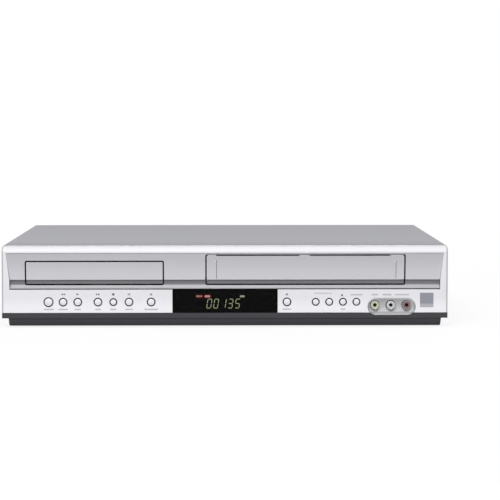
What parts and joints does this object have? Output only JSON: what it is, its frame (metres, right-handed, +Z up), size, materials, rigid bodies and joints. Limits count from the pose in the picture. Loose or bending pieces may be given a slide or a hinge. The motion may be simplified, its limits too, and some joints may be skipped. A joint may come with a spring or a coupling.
{
  "type": "disc and tape combination player",
  "caption": "Full-width home disc and tape combination player with a disc tray, tape flap, display window, push buttons and front sockets.",
  "frame": {"origin": "centre of the footprint, on the surface the feet stand on", "axes": "+X to the viewer's right along the front, +Y from the front face to the sockets at the back, +Z up"},
  "size_m": [0.432, 0.344, 0.079],
  "materials": {
    "cover_paint": "fine satin silver paint",
    "zinc_steel": "plain galvanised sheet",
    "rear_paint": "satin paint",
    "bezel_silver": "pale silver paint",
    "decor_silver": "mid silver paint",
    "plinth_grey": "dark grey moulding",
    "window_black": "gloss black",
    "dish_grey": "metallic grey",
    "foot_rubber": "matt rubber",
    "screw_steel": "bright steel",
    "button_white": "pale satin",
    "board_green": "solder mask",
    "board_tan": "paper laminate",
    "display_glass": "dark tube glass",
    "socket_black": "black moulding with plated shells",
    "drive_black": "glass-filled moulding",
    "tray_grey": "fine texture",
    "gear_white": "acetal",
    "motor_steel": "plated can",
    "plate_steel": "pressed sheet",
    "drum_alloy": "fine turned",
    "rod_steel": "ground rod",
    "roller_rubber": "ground rubber",
    "puck_grey": "satin"
  },
  "bodies": {
    "case": {"top_cover": "cover_paint", "bottom_chassis": "zinc_steel", "rear_panel": "rear_paint", "front_bezel": "bezel_silver", "decor_panel": "decor_silver", "plinth_trim": "plinth_grey", "display_window": "window_black", "jack_escutcheon": "dish_grey", "feet": "foot_rubber", "case_screws": "screw_steel", "front_board": "board_green", "display_module": "display_glass", "front_jacks": "socket_black", "drive_frame": "drive_black", "tray_motor": "motor_steel", "clamp_bridge": "plate_steel", "deck_plate": "plate_steel", "lower_drum": "drum_alloy", "carriage_frame": "plate_steel", "main_board": "board_green", "power_board": "board_tan", "rear_jacks": "socket_black", "tuner": "motor_steel", "ac_inlet": "socket_black"},
    "tray": {"disc_tray": "tray_grey", "tray_door": "decor_silver"},
    "traverse": {"traverse_plate": "plate_steel", "spindle_motor": "motor_steel", "guide_rods": "rod_steel", "sled_motor": "motor_steel"},
    "power_button": {"power_button": "button_white"},
    "rewind_button": {"rewind_button": "button_white"},
    "play_button": {"play_button": "button_white"},
    "forward_button": {"forward_button": "button_white"},
    "stop_button": {"stop_button": "button_white"},
    "pause_button": {"pause_button": "button_white"},
    "disc_eject_button": {"disc_eject_button": "button_white"},
    "tape_eject_button": {"tape_eject_button": "button_white"},
    "channel_down_button": {"channel_down_button": "button_white"},
    "channel_up_button": {"channel_up_button": "button_white"},
    "record_button": {"record_button": "button_white"},
    "source_button": {"source_button": "button_white"},
    "tape_door": {"tape_door": "decor_silver"},
    "tray_gear": {"tray_gear": "gear_white"},
    "idler_gear": {"idler_gear": "gear_white"},
    "motor_pinion": {"motor_pinion": "gear_white"},
    "turntable": {"turntable": "puck_grey"},
    "optical_pickup": {"optical_pickup": "puck_grey"},
    "lead_screw": {"lead_screw": "rod_steel"},
    "clamp_puck": {"clamp_puck": "puck_grey"},
    "upper_drum": {"upper_drum": "drum_alloy"},
    "capstan": {"capstan": "rod_steel"},
    "pinch_arm": {"pinch_arm": "plate_steel"},
    "pinch_roller": {"pinch_roller": "roller_rubber"},
    "supply_reel": {"supply_reel": "drive_black"},
    "takeup_reel": {"takeup_reel": "drive_black"},
    "guide_left": {"guide_left": "rod_steel"},
    "guide_right": {"guide_right": "rod_steel"},
    "carriage_slider": {"carriage_slider": "plate_steel"},
    "cassette_holder": {"cassette_holder": "plate_steel"}
  },
  "joints": [
    {"name": "power_press", "type": "slide", "parent": "case", "child": "power_button", "axis": [0, 1, 0], "range_m": [0, 0.001], "stiffness_N_per_m": 600, "springref_m": -0.0003},
    {"name": "rewind_press", "type": "slide", "parent": "case", "child": "rewind_button", "axis": [0, 1, 0], "range_m": [0, 0.001], "stiffness_N_per_m": 600, "springref_m": -0.0003},
    {"name": "play_press", "type": "slide", "parent": "case", "child": "play_button", "axis": [0, 1, 0], "range_m": [0, 0.001], "stiffness_N_per_m": 600, "springref_m": -0.0003},
    {"name": "forward_press", "type": "slide", "parent": "case", "child": "forward_button", "axis": [0, 1, 0], "range_m": [0, 0.001], "stiffness_N_per_m": 600, "springref_m": -0.0003},
    {"name": "stop_press", "type": "slide", "parent": "case", "child": "stop_button", "axis": [0, 1, 0], "range_m": [0, 0.001], "stiffness_N_per_m": 600, "springref_m": -0.0003},
    {"name": "pause_press", "type": "slide", "parent": "case", "child": "pause_button", "axis": [0, 1, 0], "range_m": [0, 0.001], "stiffness_N_per_m": 600, "springref_m": -0.0003},
    {"name": "disc_eject_press", "type": "slide", "parent": "case", "child": "disc_eject_button", "axis": [0, 1, 0], "range_m": [0, 0.001], "stiffness_N_per_m": 600, "springref_m": -0.0003},
    {"name": "tape_eject_press", "type": "slide", "parent": "case", "child": "tape_eject_button", "axis": [0, 1, 0], "range_m": [0, 0.001], "stiffness_N_per_m": 600, "springref_m": -0.0003},
    {"name": "channel_down_press", "type": "slide", "parent": "case", "child": "channel_down_button", "axis": [0, 1, 0], "range_m": [0, 0.001], "stiffness_N_per_m": 600, "springref_m": -0.0003},
    {"name": "channel_up_press", "type": "slide", "parent": "case", "child": "channel_up_button", "axis": [0, 1, 0], "range_m": [0, 0.001], "stiffness_N_per_m": 600, "springref_m": -0.0003},
    {"name": "record_press", "type": "slide", "parent": "case", "child": "record_button", "axis": [0, 1, 0], "range_m": [0, 0.001], "stiffness_N_per_m": 600, "springref_m": -0.0003},
    {"name": "source_press", "type": "slide", "parent": "case", "child": "source_button", "axis": [0, 1, 0], "range_m": [0, 0.001], "stiffness_N_per_m": 600, "springref_m": -0.0003},
    {"name": "tape_door_hinge", "type": "hinge", "parent": "case", "child": "tape_door", "pos_m": [0.078, -0.1645, 0.0735], "axis": [1, 0, 0], "range_deg": [0, 88], "stiffness_Nm_per_rad": 0.006, "springref_deg": -22.92},
    {"name": "tray_slide", "type": "slide", "parent": "case", "child": "tray", "axis": [0, -1, 0], "range_m": [0, 0.14]},
    {"name": "tray_gear_spin", "type": "hinge", "parent": "case", "child": "tray_gear", "pos_m": [-0.0855, -0.144, 0.049], "axis": [0, 0, 1], "continuous": true},
    {"name": "idler_gear_spin", "type": "hinge", "parent": "case", "child": "idler_gear", "pos_m": [-0.10499, -0.1395, 0.046], "axis": [0, 0, 1], "continuous": true},
    {"name": "motor_pinion_spin", "type": "hinge", "parent": "case", "child": "motor_pinion", "pos_m": [-0.12431, -0.13432, 0.045], "axis": [0, 0, 1], "continuous": true},
    {"name": "traverse_tilt", "type": "hinge", "parent": "case", "child": "traverse", "pos_m": [-0.1265, -0.018, 0.049], "axis": [1, 0, 0], "range_deg": [0, 5]},
    {"name": "turntable_spin", "type": "hinge", "parent": "traverse", "child": "turntable", "pos_m": [-0.1265, -0.093, 0.055], "axis": [0, 0, 1], "continuous": true},
    {"name": "sled_slide", "type": "slide", "parent": "traverse", "child": "optical_pickup", "axis": [0, 1, 0], "range_m": [0, 0.034]},
    {"name": "lead_screw_spin", "type": "hinge", "parent": "traverse", "child": "lead_screw", "pos_m": [-0.0925, -0.043, 0.0502], "axis": [0, 1, 0], "continuous": true},
    {"name": "clamp_puck_spin", "type": "hinge", "parent": "case", "child": "clamp_puck", "pos_m": [-0.1265, -0.093, 0.064], "axis": [0, 0, 1], "continuous": true},
    {"name": "upper_drum_spin", "type": "hinge", "parent": "case", "child": "upper_drum", "pos_m": [0.078, 0.01178, 0.04], "axis": [0, 0, 1], "continuous": true},
    {"name": "capstan_spin", "type": "hinge", "parent": "case", "child": "capstan", "pos_m": [0.13, -0.01422, 0.02], "axis": [0, 0, 1], "continuous": true},
    {"name": "pinch_arm_swing", "type": "hinge", "parent": "case", "child": "pinch_arm", "pos_m": [0.154, -0.00222, 0.025], "axis": [0, 0, 1], "range_deg": [0, 45]},
    {"name": "pinch_roller_spin", "type": "hinge", "parent": "pinch_arm", "child": "pinch_roller", "pos_m": [0.13575, 0.0106, 0.03], "axis": [0, 0, 1], "continuous": true},
    {"name": "supply_reel_spin", "type": "hinge", "parent": "case", "child": "supply_reel", "pos_m": [0.032, -0.07522, 0.025], "axis": [0, 0, 1], "continuous": true},
    {"name": "takeup_reel_spin", "type": "hinge", "parent": "case", "child": "takeup_reel", "pos_m": [0.124, -0.07522, 0.025], "axis": [0, 0, 1], "continuous": true},
    {"name": "guide_left_slide", "type": "slide", "parent": "case", "child": "guide_left", "axis": [-0.2676, 0.9635, 0], "range_m": [0, 0.03736]},
    {"name": "guide_right_slide", "type": "slide", "parent": "case", "child": "guide_right", "axis": [0.2676, 0.9635, 0], "range_m": [0, 0.03736]},
    {"name": "carriage_travel", "type": "slide", "parent": "case", "child": "carriage_slider", "axis": [0, 1, 0], "range_m": [0, 0.06]},
    {"name": "holder_drop", "type": "slide", "parent": "carriage_slider", "child": "cassette_holder", "axis": [0, 0, -1], "range_m": [0, 0.018]}
  ],
  "couplings": [
    {"joint": "tray_gear_spin", "follows": "tray_slide", "rad_per_m": -83.333},
    {"joint": "idler_gear_spin", "follows": "tray_slide", "rad_per_m": 250},
    {"joint": "motor_pinion_spin", "follows": "tray_slide", "rad_per_m": -750},
    {"joint": "lead_screw_spin", "follows": "sled_slide", "rad_per_m": 3141.6},
    {"joint": "clamp_puck_spin", "follows": "turntable_spin", "ratio": 1},
    {"joint": "guide_right_slide", "follows": "guide_left_slide", "ratio": 1}
  ]
}
